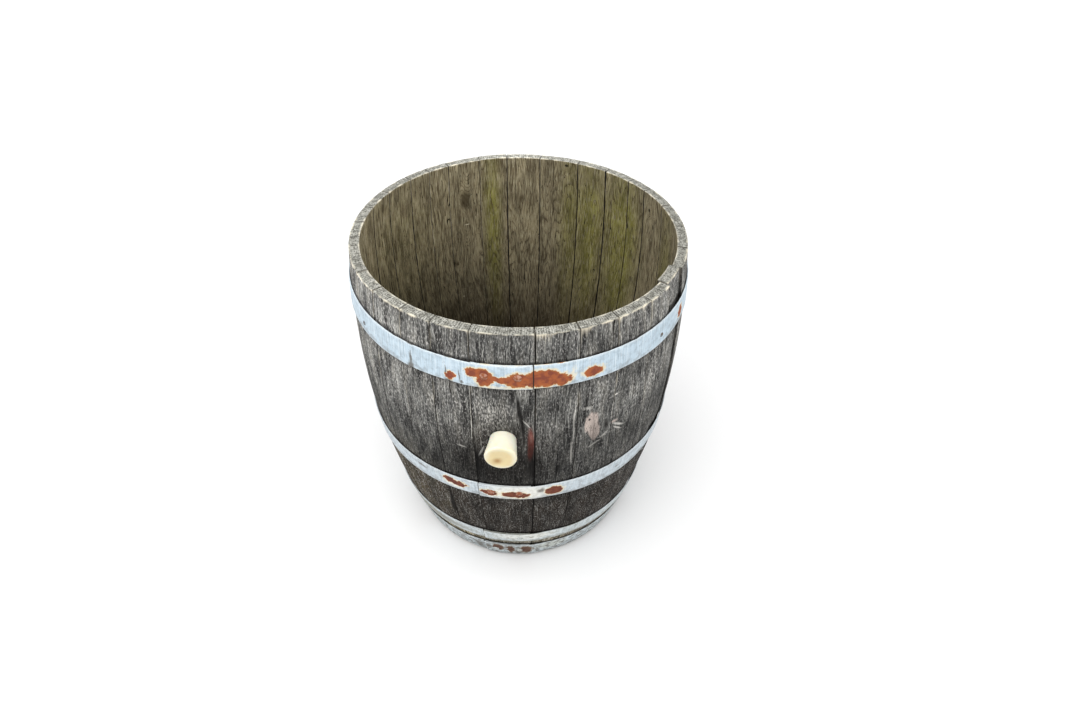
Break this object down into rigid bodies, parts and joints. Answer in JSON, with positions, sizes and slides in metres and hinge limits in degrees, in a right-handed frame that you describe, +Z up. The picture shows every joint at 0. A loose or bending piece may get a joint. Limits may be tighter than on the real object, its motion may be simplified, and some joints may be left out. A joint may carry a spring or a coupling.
{
  "type": "wooden barrel planter",
  "caption": "Open-topped planter made from a sawn-off oak wine cask, with bowed staves, riveted galvanised hoops, a jointed head with drain holes and a pull-out bung.",
  "frame": {"origin": "on the floor below the cask's own axis, in the plane of the stave ends", "axes": "+Z up the cask's axis to the sawn rim; -Y to the front, where the bung and the hoop laps are; +X to the right seen from the front"},
  "size_m": [0.68, 0.7217, 0.74],
  "materials": {
    "stave_oak": "weathered grey oak, rough, with open grain",
    "head_oak": "damp brown oak, rough",
    "dowel_oak": "plain oak",
    "hoop_iron": "dull galvanised steel with rust patches",
    "rivet_steel": "dull steel with rust",
    "nail_steel": "dull galvanised steel",
    "bung_silicone": "satin ivory silicone"
  },
  "bodies": {
    "barrel": {"stave_01": "stave_oak", "stave_02": "stave_oak", "stave_03": "stave_oak", "stave_04": "stave_oak", "stave_05": "stave_oak", "stave_06": "stave_oak", "stave_07": "stave_oak", "stave_08": "stave_oak", "stave_09": "stave_oak", "stave_10": "stave_oak", "stave_11": "stave_oak", "stave_12": "stave_oak", "stave_13": "stave_oak", "stave_14": "stave_oak", "stave_15": "stave_oak", "stave_16": "stave_oak", "stave_17": "stave_oak", "stave_18": "stave_oak", "stave_19": "stave_oak", "stave_20": "stave_oak", "stave_21": "stave_oak", "stave_22": "stave_oak", "stave_23": "stave_oak", "stave_24": "stave_oak", "stave_25": "stave_oak", "stave_26": "stave_oak", "stave_27": "stave_oak", "stave_28": "stave_oak", "stave_29": "stave_oak", "hoop_bilge_upper": "hoop_iron", "hoop_bilge_lower": "hoop_iron", "hoop_quarter": "hoop_iron", "hoop_head": "hoop_iron", "hoop_rivets": "rivet_steel", "hoop_nails": "nail_steel", "head_board_1": "head_oak", "head_board_2": "head_oak", "head_board_3": "head_oak", "head_board_4": "head_oak", "head_board_5": "head_oak", "head_board_6": "head_oak", "head_board_7": "head_oak", "head_dowels": "dowel_oak"},
    "bung": {"bung": "bung_silicone"}
  },
  "joints": [
    {"name": "bung_pull", "type": "slide", "parent": "barrel", "child": "bung", "axis": [-0.0523, -0.9986, 0], "range_m": [0, 0.08]}
  ]
}
